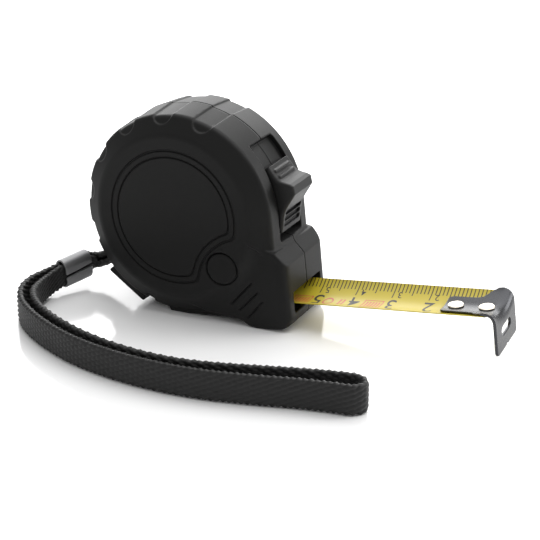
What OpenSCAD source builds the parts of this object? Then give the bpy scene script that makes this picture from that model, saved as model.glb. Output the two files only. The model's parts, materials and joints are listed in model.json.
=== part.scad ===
// Pocket tape measure with a thumb lock and a wrist strap.
// The pieces are drawn in the case's own frame: the spool turns about Y through the origin,
// the blade runs out along +X and +Z is up. as_it_stands() then sets the case on the ground.

/* [Case] */
// Radius of the round rim at the joint between the two shells
case_r = 27.2; // [25:0.1:36]
// Thickness across both shells
case_w = 27; // [25:0.5:34]
// Width of the rim band between the side bevels
rim_w = 21.2; // [20:0.1:22]
// How much the rim narrows from the joint to the bevel
rim_draft = 0.8; // [0:0.1:1]
// Width of the bevel, measured along the radius
bevel = 4.9; // [3:0.1:6]
// Wall thickness of the shells
wall = 1.8; // [1.4:0.1:2.2]
// Gap left between fixed pieces that seat in each other
seat_gap = 0.03; // [0.01:0.01:0.05]
// Gap left between pieces that turn or slide on each other
run_gap = 0.08; // [0.02:0.01:0.1]

/* [Nose] */
// How far the nose stands in front of the round rim
nose_reach = 2.8; // [1.5:0.1:5]
// Width of the nose
nose_w = 24; // [22:0.5:25]
// Depth below the spool axis at which the nose's shoulder starts
nose_top = 9; // [7:0.5:11]
// Rounding of the nose's upright corners
nose_round = 2.2; // [1:0.1:3]
// How far the foot stands below the rim
foot_drop = 2.1; // [1:0.1:4]
// Distance of the foot's back corner behind the nose's front face
foot_len = 10.2; // [8:0.1:12]

/* [Rim flutes] */
// Angle between two flutes
flute_step = 25; // [24:1:30]
// Width of a flute
flute_w = 5.6; // [3:0.1:7]
// Depth of a flute
flute_depth = 0.4; // [0.2:0.1:0.8]

/* [Blade] */
// Width of the blade, measured round its curve
blade_w = 16; // [12:0.5:17]
// Thickness of the blade
blade_t = 0.2; // [0.15:0.05:0.3]
// Radius of the blade's cross curve
blade_curve = 15; // [12:0.5:20]
// Length of blade that stands out of the mouth
blade_out = 52; // [30:1:80]
// Height of the mouth slot
mouth_h = 4.8; // [4:0.1:5.5]
// Gap at each side of the blade in the mouth
mouth_gap = 0.8; // [0.4:0.1:1.2]

/* [End hook] */
// Thickness of the hook's sheet
hook_t = 0.8; // [0.6:0.1:1]
// Height of the hook's flange below the blade
flange_h = 8.6; // [6:0.1:9]
// Length of the hook's tongue
tongue_len = 15; // [13:0.5:18]
// Width of the narrow part of the tongue
tongue_w = 8.6; // [6:0.1:10]
// Play of the hook on its rivets
hook_play = 0.8; // [0.4:0.1:1]
// Radius of a rivet's shank
rivet_r = 0.9; // [0.7:0.1:1.1]
// Radius of a rivet's head
rivet_head_r = 2.15; // [1.9:0.05:2.3]
// Distance between the two rivets
rivet_pitch = 8; // [7:0.5:9]

/* [Spool] */
// Outer radius of the wound blade
coil_r = 21.5; // [20:0.1:22]
// Outer radius of the drum that the blade is wound on
drum_r = 16.2; // [14:0.1:18]
// Wall thickness of the drum
drum_wall = 1; // [0.8:0.1:1.5]
// Radius of the fixed spindle
spindle_r = 2.9; // [2.5:0.1:3.5]
// Turns of the mainspring
spring_turns = 7; // [5:1:9]
// Thickness of the mainspring
spring_t = 0.25; // [0.15:0.05:0.4]

/* [Thumb lock] */
// Lower end of the lock's window, as an angle above the level of the spool axis
window_low = -16; // [-17:0.5:-14]
// Upper end of the lock's window
window_high = 40.5; // [38:0.5:44]
// Width of the lock's window
window_w = 12.8; // [11:0.1:14]
// Angle that the thumb button moves through
lock_travel = 14; // [10:1:14]

/* [Strap] */
// Width of the strap
strap_w = 7.8; // [7:0.1:8]
// Thickness of the strap
strap_t = 1.3; // [1:0.1:1.4]
// Radius of the bar that the strap goes round
bar_r = 0.8; // [0.6:0.1:1]

/* [Hidden] */
$fn = 96;
eps = 0.01;
far = 60;

// Case: half widths and radii that follow from the driving sizes
half_w = case_w / 2;
half_rim = rim_w / 2;
rim_edge_r = case_r - rim_draft;
face_r = rim_edge_r - bevel;
bevel_h = half_w - half_rim;
chamber_r = case_r - wall - 0.2;
chamber_half = half_w - wall;
bevel_len = norm([bevel, bevel_h]);
// Inner bevel line, one wall inside the outer one
bevel_in = (bevel_h * rim_edge_r + bevel * half_rim) / bevel_len - wall;
chamber_face_r = (bevel_in * bevel_len - bevel * chamber_half) / bevel_h;
chamber_bevel_y = (bevel_in * bevel_len - bevel_h * chamber_r) / bevel;

// Nose and foot
nose_x = case_r + nose_reach;
nose_front_top = nose_top + 3.4;
foot_z = case_r + foot_drop;
foot_back = nose_x - foot_len;
foot_chamfer = 2.8;
half_nose = nose_w / 2;

// Blade, with its cross curve's centre above it
blade_low = chamber_r - 0.7;
curve_z = blade_curve - blade_low;
blade_top_r = blade_curve - blade_t;
blade_half = blade_curve * sin(blade_w / 2 / blade_curve * 180 / PI);
blade_back = -4;
blade_end = nose_x + blade_out;
mouth_low = blade_low + 1;
mouth_half = blade_half + mouth_gap;

// Hook
tongue_gap = 0.05;
tongue_low_r = blade_top_r - tongue_gap;
tongue_top_r = tongue_low_r - hook_t;
tongue_back = blade_end - tongue_len;
flange_low = blade_low + flange_h;
flange_half = blade_half + 0.3;
rivet_front = blade_end - 3.9;
rivet_at = [rivet_front, rivet_front - rivet_pitch];
rivet_seat_z = curve_z - sqrt(pow(tongue_top_r, 2) - pow(rivet_head_r, 2)) + tongue_gap;
washer_r = 1.7;
washer_t = 0.4;
washer_z = -blade_low - seat_gap - washer_t;

// Screws: three in the rim and one in the foot
screw_ring_r = case_r - 3;
screw_r = 0.9;
screw_head_r = 1.6;
screw_seat_y = half_rim - 1.6;
screw_end_y = -(half_rim - 2.6);
boss_r = 2.1;
boss_end_y = half_rim - 0.6;
foot_screw_z = -(mouth_low + foot_z) / 2;
screw_places = concat(
    [for (a = [80, 150, 238]) [screw_ring_r * cos(a), screw_ring_r * sin(a)]],
    [[nose_x - 7.5, foot_screw_z]]);

// Spindle and spool
spindle_end = half_w - 1;
coil_half = blade_w / 2;
drum_half = coil_half + 0.2;
web_t = 1;
hub_r = spindle_r + 1.4;
socket_r = spindle_r + 1.8;
socket_y = drum_half + 0.6;
guide_rib_r = coil_r - 1.9;
spring_in_r = hub_r + 0.6;
spring_out_r = drum_r - drum_wall - 0.5;
spring_half = drum_half - web_t - 0.6;

// Lock
track_r = case_r - 1.8;
track_in_r = track_r - 1.8;
button_low_r = track_r + 0.15;
button_half = window_w / 2 - 0.35;
button_low = window_low + 5;
button_high = window_high - lock_travel - 1;
stem_half = 2.1;
stem_low = -7;
stem_high = 5;
carriage_top_r = track_in_r - 0.2;
carriage_low_r = carriage_top_r - 1;
pad_x = 12;
pad_half = 2.4;
pad_low = blade_low - blade_t - 0.35;

// Badge on the side face, and the centre of the arc that goes round it
badge_at = [12.6, -13.2];
badge_r = 4.2;
badge_t = 0.8;
arc_at = [19.4, -19];
groove_w = 0.45;
groove_depth = 0.3;

// Strap: bar in the case's frame, and the lug beside it
bar_angle = 213;
bar_ring_r = case_r - 2.2;
bar_half = 6;
eye_half = 3.3;
eye_angle = 8;
lug_r = case_r + 1.2;
lug_half = half_rim - 0.4;
lug_span = [214, 241];

// The case stands on the round of its rim and on the foot's back corner, nose up
stand_angle = atan2(foot_z, foot_back) - asin(case_r / norm([foot_back, foot_z]));
hook_front = blade_end + hook_t;
row_mid_x = (hook_front * cos(stand_angle) + flange_low * sin(stand_angle) - case_r) / 2;

// Where the strap's bar stands, and how far that is from the place the course is drawn for
bar_x = bar_ring_r * cos(bar_angle + stand_angle) - row_mid_x;
bar_z = bar_ring_r * sin(bar_angle + stand_angle) + case_r;
strap_shift_x = bar_x + 48.75;
strap_shift_z = bar_z - 11.58;

// Points along the middle of the strap, from the bar, through the ferrule, round the loop
// that lies on the ground, and back to the bar
strap_course = [
    [-49, 0, 13.2], [-53, 0, 10.8], [-57, 0, 8.4], [-60.4, -0.8, 6.6], [-62.6, -3.6, 6],
    [-65, -10.6, 5.3], [-67, -16, 4.3], [-67.6, -21, 4], [-66.8, -26.5, 4], [-64.2, -32, 4],
    [-60, -37, 4], [-54, -41.8, 4], [-46, -46.6, 4], [-36, -51, 4], [-24, -54, 4],
    [-12, -55.3, 4], [0, -54.8, 4], [12, -52.5, 4], [22, -50, 4], [30, -48.6, 4],
    [35, -47.8, 4], [36.8, -45, 4], [34, -42.2, 4], [28, -42.8, 4], [20, -44.8, 4],
    [0, -50.4, 4], [-12, -51.8, 4], [-24, -50.6, 4], [-35, -47.6, 4],
    [-44, -43.8, 4], [-52, -39.2, 4], [-58, -34.4, 4], [-62, -29.4, 4], [-64, -24, 4],
    [-64.9, -17, 4.2], [-63.5, -11, 5.3], [-61.1, -4, 6], [-59, -1, 5.4], [-53, 0, 8.2],
    [-48, 0, 10]];
strap_last = len(strap_course) - 1;
strap_route = [for (k = [0:strap_last]) strap_course[k] + [strap_shift_x, 0,
    strap_shift_z * lookup(from_end(k), [[0, 1], [3, 0.6], [4, 0.4], [5, 0.4], [8, 0]])]];

// Extrudes a drawing of the XZ plane from y = from_y to y = to_y
module across(from_y, to_y) {
    translate([0, to_y, 0]) rotate([90, 0, 0]) linear_extrude(to_y - from_y) children();
}

// Turns a profile, drawn as radius against y, about the spool axis
module about_axis() {
    rotate([-90, 0, 0]) rotate_extrude() children();
}

// Wedge of a ring about the spool axis, between two radii and two angles
module ring_wedge(r_in, r_out, low, high, half) {
    reach = r_out * 1.6;
    mid = (low + high) / 2;
    across(-half, half) intersection() {
        difference() {
            circle(r_out);
            circle(r_in);
        }
        polygon([[0, 0], reach * [cos(low), sin(low)], reach * [cos(mid), sin(mid)],
            reach * [cos(high), sin(high)]]);
    }
}

// Puts a child at a distance along the radius that points at an angle
module at_angle(angle, r) {
    rotate([0, -angle, 0]) translate([r, 0, 0]) children();
}

// Moves a piece from the case's frame to where it stands on the ground
module as_it_stands() {
    translate([-row_mid_x, 0, case_r]) rotate([0, -stand_angle, 0]) children();
}

// Round part of the case, smaller all over by an inset
module round_form(inset = 0) {
    about_axis() polygon([[0, -half_w + inset], [face_r - inset, -half_w + inset],
        [rim_edge_r - inset, -half_rim], [case_r - inset, 0], [rim_edge_r - inset, half_rim],
        [face_r - inset, half_w - inset], [0, half_w - inset]]);
}

// Side outline of the nose and the foot
module nose_outline() {
    polygon([[0, -foot_z + foot_drop], [foot_back - 7.2, -case_r], [foot_back - 6.3, -case_r - 0.5],
        [foot_back - 4.2, -case_r - 0.6], [foot_back - 2.6, -case_r - 1.2],
        [foot_back - 1.2, -case_r - 1.9], [foot_back, -foot_z], [nose_x - foot_chamfer, -foot_z],
        [nose_x, -foot_z + foot_chamfer], [nose_x, -nose_front_top], [case_r, -nose_top],
        [case_r - 6, -nose_top + 1.8], [0, -nose_top + 1.8]]);
}

// Plan of the nose, with its upright front corners rounded
module nose_plan() {
    corner = half_nose - nose_round;
    union() {
        translate([-far, -half_nose]) square([far + nose_x - nose_round, nose_w]);
        translate([-far, -corner]) square([far + nose_x, 2 * corner]);
        for (side = [-1, 1]) translate([nose_x - nose_round, side * corner]) circle(nose_round);
    }
}

module nose_form() {
    intersection() {
        across(-half_nose, half_nose) nose_outline();
        translate([0, 0, -far]) linear_extrude(2 * far) nose_plan();
    }
}

// Front of the rim below the axis, which runs straight down to the nose
module front_form() {
    across(-half_rim, half_rim) polygon([[0, 0], [case_r, 0], [case_r, -nose_front_top],
        [0, -nose_front_top]]);
}

// Channels across the rim, each with a flat floor that follows the rim's draft on both sides
module flutes() {
    for (k = [0:6], side = [0, 1]) at_angle(67.5 + k * flute_step, case_r - flute_depth)
        mirror([0, side, 0]) rotate([0, 0, atan(rim_draft / half_rim)])
            translate([0, -eps, -flute_w / 2]) cube([4, half_rim + 1.4, flute_w]);
}

module case_form() {
    difference() {
        union() {
            round_form();
            nose_form();
            front_form();
            ring_wedge(case_r - 4, lug_r, lug_span[0], lug_span[1], lug_half);
        }
        flutes();
    }
}

// Space inside the case: the round chamber and the throat that leads to the mouth
module cavity() {
    about_axis() polygon([[0, -chamber_half], [chamber_face_r, -chamber_half],
        [chamber_r, -chamber_bevel_y], [chamber_r, chamber_bevel_y],
        [chamber_face_r, chamber_half], [0, chamber_half]]);
    across(-mouth_half, mouth_half) polygon([[0, -mouth_low], [nose_x - wall, -mouth_low],
        [nose_x - wall, -nose_front_top - 1], [case_r - wall, -nose_top - 1.4],
        [case_r - wall - 6, -nose_top], [0, -nose_top]]);
    translate([nose_x - wall - 1, -mouth_half, -mouth_low])
        cube([wall + 2, 2 * mouth_half, mouth_h]);
}

// Inner wall that the lock's carriage runs under
module lock_track() {
    ring_wedge(track_in_r, track_r, window_low - 5, window_high + 5, half_rim - 1);
}

// Slot in that wall for the button's stem
module stem_slot() {
    ring_wedge(track_in_r - 1, track_r + 1, stem_low - 3, stem_high + lock_travel + 3,
        stem_half + 0.3);
}

// Groove along the outline of the side panel: a disc with an arc taken out of its corner
module panel_groove(panel_r, arc_r) {
    difference() {
        difference() {
            circle(panel_r);
            translate(arc_at) circle(arc_r);
        }
        difference() {
            circle(panel_r - groove_w);
            translate(arc_at) circle(arc_r + groove_w);
        }
    }
}

// What is cut into one side face. side is -1 for the left shell and 1 for the right
module side_cuts(side) {
    deep = side > 0 ? half_w - groove_depth : -half_w - 1;
    across(deep, deep + 1 + groove_depth) {
        panel_groove(17.8, 13.9);
        panel_groove(16.05, 15.6);
        for (line = [[20, -17.1, 8.7], [21.4, -19.6, 7.4], [22.5, -22.1, 6.4]])
            translate([line[0], line[1]]) rotate(223.6) square([line[2], 0.4]);
    }
}

module screw_bosses() {
    for (p = screw_places) translate([p[0], boss_end_y, p[1]]) rotate([90, 0, 0])
        cylinder(r = boss_r, h = 2 * boss_end_y);
}

module screw_holes() {
    for (p = screw_places) translate([p[0], 0, p[1]]) rotate([90, 0, 0]) {
        translate([0, 0, -far]) cylinder(r = screw_head_r + 0.15, h = far - screw_seat_y);
        translate([0, 0, -screw_seat_y - eps]) cylinder(r = screw_r + 0.2, h = screw_seat_y + eps);
        cylinder(r = screw_r + seat_gap, h = -screw_end_y + 0.4);
    }
}

// Sockets for the spindle and ribs that keep the wound blade in line
module inner_bosses() {
    for (side = [-1, 1]) {
        low = side < 0 ? -chamber_half - 0.2 : socket_y;
        across(low, low + chamber_half + 0.2 - socket_y) union() {
            circle(socket_r);
            difference() {
                circle(guide_rib_r + 0.6);
                circle(guide_rib_r - 0.6);
            }
        }
    }
}

// Opening that the strap comes out of
module strap_eye() {
    ring_wedge(bar_ring_r - 3, lug_r + 2, bar_angle - eye_angle, bar_angle + eye_angle, eye_half);
}

module case_body() {
    difference() {
        union() {
            difference() {
                case_form();
                cavity();
                ring_wedge(track_r, case_r + 3, window_low, window_high, window_w / 2);
            }
            lock_track();
            screw_bosses();
            inner_bosses();
            at_angle(bar_angle, bar_ring_r) rotate([90, 0, 0])
                cylinder(r = bar_r + 1.2, h = 2 * bar_half + 2, center = true);
        }
        stem_slot();
        strap_eye();
        screw_holes();
        across(-spindle_end, spindle_end) circle(spindle_r + seat_gap);
        at_angle(bar_angle, bar_ring_r) rotate([90, 0, 0])
            cylinder(r = bar_r + seat_gap, h = 2 * bar_half + 2 * seat_gap, center = true);
    }
}

module case_left() {
    color("#2b2b2a") intersection() {
        difference() {
            case_body();
            side_cuts(-1);
            translate([badge_at[0], -half_w + badge_t, badge_at[1]]) rotate([90, 0, 0])
                cylinder(r = badge_r + 0.1, h = 2);
        }
        translate([-far, -far, -far]) cube([2 * far, far, 2 * far]);
    }
}

module case_right() {
    color("#2b2b2a") intersection() {
        difference() {
            case_body();
            side_cuts(1);
        }
        translate([-far, 0, -far]) cube([2 * far, far, 2 * far]);
    }
}

module side_badge() {
    color("#262625") translate([badge_at[0], -half_w + badge_t - seat_gap, badge_at[1]])
        rotate([90, 0, 0]) cylinder(r = badge_r, h = badge_t - seat_gap);
}

module case_screws() {
    color("#3a3a3c") for (p = screw_places) translate([p[0], 0, p[1]]) rotate([90, 0, 0])
        difference() {
            union() {
                translate([0, 0, -screw_seat_y]) cylinder(r = screw_r, h = screw_seat_y - screw_end_y);
                translate([0, 0, -screw_seat_y - 1.4]) cylinder(r = screw_head_r, h = 1.4);
            }
            for (a = [0, 90]) rotate(a) translate([-1.1, -0.2, -screw_seat_y - 2]) cube([2.2, 0.4, 1.4]);
        }
}

// Fixed shaft, with the slit that holds the mainspring's inner end
module spindle() {
    color("#8d9094") difference() {
        across(-spindle_end + seat_gap, spindle_end - seat_gap) circle(spindle_r);
        translate([0, -spring_half - 0.3, -0.3]) cube([far, 2 * spring_half + 0.6, 0.6]);
    }
}

module spool_washers() {
    color("#c9cbcd") for (side = [-1, 1])
        across(side * (drum_half + 0.3) - 0.2, side * (drum_half + 0.3) + 0.2) difference() {
            circle(hub_r);
            circle(spindle_r + run_gap);
        }
}

// Cup that the blade is wound on and that holds the mainspring
module spool_drum() {
    color("#d9d9d4") difference() {
        across(-drum_half, drum_half) circle(drum_r);
        across(-drum_half + web_t, drum_half + 1) difference() {
            circle(drum_r - drum_wall);
            circle(hub_r);
        }
        across(-far, far) circle(spindle_r + run_gap);
        across(drum_half - web_t, far) circle(drum_r - drum_wall);
        ring_wedge(hub_r - 3, hub_r + 1, -25, 25, spring_half + 0.3);
        ring_wedge(drum_r - 2, drum_r + 1, 174, 186, spring_half + 0.3);
    }
}

module drum_cover() {
    color("#cfcfca") across(drum_half - web_t + seat_gap, drum_half) difference() {
        circle(drum_r - drum_wall - seat_gap);
        circle(spindle_r + run_gap);
        for (a = [30:60:330]) rotate(a) translate([(hub_r + spring_out_r) / 2, 0]) circle(2);
    }
}

// Radius of the mainspring at a turn counted from its inner end
function spring_radius(turn) = spring_in_r + (spring_out_r - spring_in_r) * turn / spring_turns;

// The spring's two faces, one thickness apart
function spring_point(k, steps, extra) = let (turn = k / steps)
    (spring_radius(turn) + extra) * [cos(360 * turn), sin(360 * turn)];

module mainspring() {
    steps = 24;
    last = steps * spring_turns;
    color("#6f747a") across(-spring_half, spring_half) polygon(concat(
        [[1.2, -spring_t], [1.2, 0]],
        [for (k = [0:last]) spring_point(k, steps, 0)],
        [for (k = [last:-1:0]) spring_point(k, steps, spring_t)],
        [[spring_in_r + spring_t, -spring_t]]));
}

// Small hook that joins the blade's inner end to the drum through its slot
module blade_anchor() {
    color("#7b7f84") difference() {
        ring_wedge(drum_r - drum_wall - 0.3, drum_r - 0.05, 175.5, 184.5, 4);
        ring_wedge(drum_r - drum_wall - 1, drum_r + 1, 178.5, 181.5, 1.5);
    }
}

module blade_coil() {
    color("#c8b838") across(-coil_half, coil_half) difference() {
        circle(coil_r);
        circle(drum_r + 0.02);
    }
}

// Cross section of the blade or of a plate that lies along it, between two radii
module curved_section(r_low, r_top, half) {
    intersection() {
        translate([0, curve_z]) difference() {
            circle(r_low, $fn = 180);
            circle(r_top, $fn = 180);
        }
        translate([-half, curve_z - r_low - 1]) square([2 * half, r_low]);
    }
}

// Extrudes a drawing of the YZ plane along X
module along_blade(from_x, to_x) {
    translate([from_x, 0, 0]) rotate([90, 0, 90]) linear_extrude(to_x - from_x) children();
}

module blade_strip() {
    color("#cdbb3c") difference() {
        along_blade(blade_back, blade_end - 0.1) curved_section(blade_curve, blade_top_r, blade_half);
        for (x = rivet_at) translate([x, 0, -foot_z]) cylinder(r = rivet_r + seat_gap, h = far);
    }
}

// Plan of the tongue: narrow behind, flaring to the flange's full width
module tongue_plan() {
    flare = blade_end - 6.6;
    half = tongue_w / 2;
    union() {
        polygon([[tongue_back + 1.2, -half], [flare, -half], [blade_end - 3, -flange_half],
            [blade_end + hook_t, -flange_half], [blade_end + hook_t, flange_half],
            [blade_end - 3, flange_half], [flare, half], [tongue_back + 1.2, half]]);
        translate([tongue_back, -half + 1.2]) square([2, tongue_w - 2.4]);
        for (s = [-1, 1]) translate([tongue_back + 1.2, s * (half - 1.2)]) circle(1.2);
    }
}

module end_hook() {
    color("#2c2d30") union() {
        difference() {
            intersection() {
                along_blade(tongue_back, blade_end + hook_t)
                    curved_section(tongue_low_r, tongue_top_r, flange_half);
                translate([0, 0, -far]) linear_extrude(far) tongue_plan();
            }
            for (x = rivet_at) translate([x, 0, -far]) linear_extrude(far) union() {
                circle(rivet_r + seat_gap + 0.02);
                translate([-hook_play, 0]) circle(rivet_r + seat_gap + 0.02);
                translate([-hook_play, -rivet_r - seat_gap - 0.02])
                    square([hook_play, 2 * (rivet_r + seat_gap + 0.02)]);
            }
        }
        along_blade(blade_end, blade_end + hook_t) difference() {
            polygon([[-flange_half, -blade_low + 3], [-flange_half, -flange_low + 1],
                [-flange_half + 1, -flange_low], [-0.5, -flange_low], [0, -flange_low + 0.5],
                [0.5, -flange_low], [flange_half - 1, -flange_low],
                [flange_half, -flange_low + 1], [flange_half, -blade_low + 3]]);
            translate([0, curve_z]) circle(tongue_top_r, $fn = 180);
            translate([0, -blade_low - 3.6]) union() {
                square([4, 2], center = true);
                for (s = [-2, 2]) translate([s, 0]) circle(1);
            }
        }
    }
}

module hook_rivets() {
    tail_z = washer_z - 0.35;
    color("#d8cdbb") for (x = rivet_at) translate([x, 0, 0]) union() {
        translate([0, 0, tail_z]) cylinder(r = rivet_r, h = rivet_seat_z - tail_z + 0.1);
        translate([0, 0, rivet_seat_z]) cylinder(r = rivet_head_r, h = 0.35);
        translate([0, 0, rivet_seat_z + 0.35])
            cylinder(r1 = rivet_head_r, r2 = rivet_head_r - 0.3, h = 0.2);
        translate([0, 0, tail_z]) cylinder(r = rivet_r + 0.35, h = 0.32);
    }
}

module rivet_washers() {
    color("#b9bcc0") for (x = rivet_at) translate([x, 0, washer_z]) difference() {
        cylinder(r = washer_r, h = washer_t);
        translate([0, 0, -1]) cylinder(r = rivet_r + seat_gap, h = 2);
    }
}

// Point of the button's outline at an angle above the axis and a radius
function button_point(angle, r) = r * [cos(angle), sin(angle)];

// Thumb button: a curved plate with a nose to push, ribs above and grooves below it
module lock_button() {
    rise = button_high - button_low;
    color("#333333") union() {
        across(-button_half, button_half) difference() {
            polygon([
                button_point(button_low, button_low_r), button_point(button_low, case_r + 0.1),
                button_point(button_low + 8, case_r + 0.2), button_point(button_low + 12, case_r + 0.7),
                button_point(button_low + 15, case_r + 1.6), button_point(button_low + 18, case_r + 3),
                button_point(button_low + 20, case_r + 4.4), button_point(button_low + 24, case_r + 4.4),
                button_point(button_low + 26, case_r + 3), button_point(button_low + 28, case_r + 1.9),
                button_point(button_low + 30.5, case_r + 1), button_point(button_low + 33, case_r + 0.7),
                button_point(button_high, case_r + 0.2), button_point(button_high, button_low_r),
                button_point(button_low + rise * 0.8, button_low_r - 0.2),
                button_point(button_low + rise * 0.5, button_low_r - 0.2),
                button_point(button_low + rise * 0.2, button_low_r - 0.2)]);
            circle(button_low_r);
        }
        for (a = [button_high - 8.5, button_high - 4.5]) at_angle(a, case_r + 0.6)
            cube([1, 2 * button_half - 3, 0.7], center = true);
        ring_wedge(carriage_top_r, button_low_r + 1, stem_low, stem_high, stem_half);
    }
}

// Plate inside the case that carries the brake down to the blade
module lock_carriage() {
    arm_low = -56;
    foot_top = carriage_low_r * sin(-50);
    color("#3f4144") union() {
        ring_wedge(carriage_low_r, carriage_top_r, window_low + 2, button_high, 5);
        ring_wedge(carriage_low_r, carriage_top_r, arm_low, window_low + 3, 2.6);
        across(-pad_half + 0.4, pad_half - 0.4) polygon([[pad_x - 1, -pad_low + 1],
            [pad_x + 1, -pad_low + 1], [pad_x + 1, -pad_low + 2.2], [pad_x + 3, foot_top],
            [pad_x + 1, foot_top], [pad_x - 1, -pad_low + 2.2]]);
    }
}

module brake_pad() {
    color("#5a3b32") across(-pad_half, pad_half) difference() {
        translate([pad_x - 1.4, -pad_low]) square([2.8, 2]);
        translate([pad_x - 1 - seat_gap, -pad_low + 1 - seat_gap]) square([2 + 2 * seat_gap, 2]);
    }
}

module strap_bar() {
    color("#a8abaf") at_angle(bar_angle, bar_ring_r) rotate([90, 0, 0])
        cylinder(r = bar_r, h = 2 * bar_half, center = true);
}

// Crimped sleeve, open along the seam that faces forwards
module ferrule() {
    from = (strap_route[4] + strap_route[strap_last - 3]) / 2;
    to = (strap_route[5] + strap_route[strap_last - 4]) / 2;
    run = to - from;
    len = norm(run) + 1.6;
    turn = atan2(run[1], run[0]);
    dip = atan2(-run[2], norm([run[0], run[1]]));
    color("#7d7f82") translate((from + to) / 2) rotate([0, 0, turn]) rotate([0, dip, 0])
        rotate([90, 0, 90]) translate([0, 0, -len / 2]) linear_extrude(len) difference() {
            sleeve_section(2.3, 4);
            sleeve_section(1.7, 3.4);
            translate([0, -0.15]) square([4, 0.3]);
        }
}

// Oblong section with round ends, given its half width and half height
module sleeve_section(half, tall) {
    union() {
        square([2 * half, 2 * (tall - half)], center = true);
        for (s = [-1, 1]) translate([0, s * (tall - half)]) circle(half);
    }
}

// The strap comes out flat, stands on its edge from the ferrule on, and is gathered in both
function from_end(k) = min(k, strap_last - k);
function strap_turn(k) = lookup(from_end(k), [[0, 0], [2, 15], [3, 55], [4, 90]]);
function strap_half(k) = strap_w / 2 * lookup(from_end(k), [[0, 0.62], [2, 0.66], [4, 0.8],
    [5, 0.8], [7, 0.98]]);
function unit(v) = v / norm(v);
function strap_along(k) = unit(strap_route[min(k + 1, strap_last)] - strap_route[max(k - 1, 0)]);
function strap_across(k) = let (t = strap_along(k), a = strap_turn(k), w = [0, cos(a), -sin(a)])
    unit(w - t * (t * w));
function strap_ring(k) = let (w = strap_across(k), n = cross(strap_along(k), w),
    h = strap_half(k), e = h - strap_t / 4, t = strap_t / 2)
    [for (c = [[h, -t / 2], [h, t / 2], [e, t], [-e, t], [-h, t / 2], [-h, -t / 2], [-e, -t],
        [e, -t]]) strap_route[k] + c[0] * w + c[1] * n];

// Two triangles for each side of each stretch between two rings
function strap_faces(k, i, sides) = let (a = k * sides + i, b = k * sides + (i + 1) % sides)
    [[a, a + sides, b + sides], [a, b + sides, b]];

module strap() {
    sides = 8;
    color("#1d1d1d") polyhedron(
        points = [for (k = [0:strap_last]) each strap_ring(k)],
        faces = concat([for (i = [1:sides - 2]) [0, i, i + 1]],
            [for (k = [0:strap_last - 1], i = [0:sides - 1]) each strap_faces(k, i, sides)],
            [for (i = [1:sides - 2]) [0, i + 1, i] + strap_last * sides * [1, 1, 1]]));
}

as_it_stands() case_left();
as_it_stands() case_right();
as_it_stands() side_badge();
as_it_stands() case_screws();
as_it_stands() spindle();
as_it_stands() spool_washers();
as_it_stands() spool_drum();
as_it_stands() drum_cover();
as_it_stands() mainspring();
as_it_stands() blade_anchor();
as_it_stands() blade_coil();
as_it_stands() blade_strip();
as_it_stands() end_hook();
as_it_stands() hook_rivets();
as_it_stands() rivet_washers();
as_it_stands() lock_button();
as_it_stands() lock_carriage();
as_it_stands() brake_pad();
as_it_stands() strap_bar();
ferrule();
strap();
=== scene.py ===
"""Looks of a pocket tape measure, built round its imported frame.

Shapes are drawn in millimetres in the case's own frame: the spool turns about Y through the
origin, the blade runs out along +X and +Z is up. CASE_FRAME sets them where the case stands.
"""

import json
import math
from contextlib import contextmanager
from functools import reduce

import bmesh
import bpy
import numpy as np
from bpy.props import FloatProperty, FloatVectorProperty, IntProperty, PointerProperty
from mathutils import Matrix, Vector


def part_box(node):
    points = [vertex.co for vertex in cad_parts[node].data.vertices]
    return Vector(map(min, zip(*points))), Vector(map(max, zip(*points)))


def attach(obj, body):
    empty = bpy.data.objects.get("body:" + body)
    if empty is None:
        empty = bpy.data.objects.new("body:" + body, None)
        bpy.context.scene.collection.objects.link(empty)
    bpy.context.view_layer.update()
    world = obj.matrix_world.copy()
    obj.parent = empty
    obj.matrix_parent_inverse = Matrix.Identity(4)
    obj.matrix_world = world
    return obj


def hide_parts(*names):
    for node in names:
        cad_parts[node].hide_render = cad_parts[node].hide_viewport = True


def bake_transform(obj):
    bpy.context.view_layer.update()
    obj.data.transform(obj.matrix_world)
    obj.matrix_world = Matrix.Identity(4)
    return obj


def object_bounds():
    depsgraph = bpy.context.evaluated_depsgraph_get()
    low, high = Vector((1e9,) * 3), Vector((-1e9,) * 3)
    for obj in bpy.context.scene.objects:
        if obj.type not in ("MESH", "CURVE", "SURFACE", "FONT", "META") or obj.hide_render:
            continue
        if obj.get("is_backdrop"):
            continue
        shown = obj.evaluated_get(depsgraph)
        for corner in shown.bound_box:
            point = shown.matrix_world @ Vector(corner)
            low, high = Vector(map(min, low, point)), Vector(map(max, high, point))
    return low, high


bl_info = {
    "name": "Pocket Tape Measure",
    "version": (1, 0, 0),
    "blender": (4, 5, 0),
    "location": "View3D > Sidebar > Tape",
    "description": "Builds the case, lock, blade, hook and strap of a pocket tape measure",
    "category": "Object",
}

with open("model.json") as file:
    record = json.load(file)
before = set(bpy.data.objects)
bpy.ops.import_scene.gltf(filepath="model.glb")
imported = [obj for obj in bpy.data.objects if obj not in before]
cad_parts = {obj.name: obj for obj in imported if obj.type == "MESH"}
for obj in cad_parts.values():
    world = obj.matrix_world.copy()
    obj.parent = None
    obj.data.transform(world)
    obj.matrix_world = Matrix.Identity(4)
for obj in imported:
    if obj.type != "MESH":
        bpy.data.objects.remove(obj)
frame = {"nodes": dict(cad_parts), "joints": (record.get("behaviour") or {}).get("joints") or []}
CAD_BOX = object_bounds()

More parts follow.
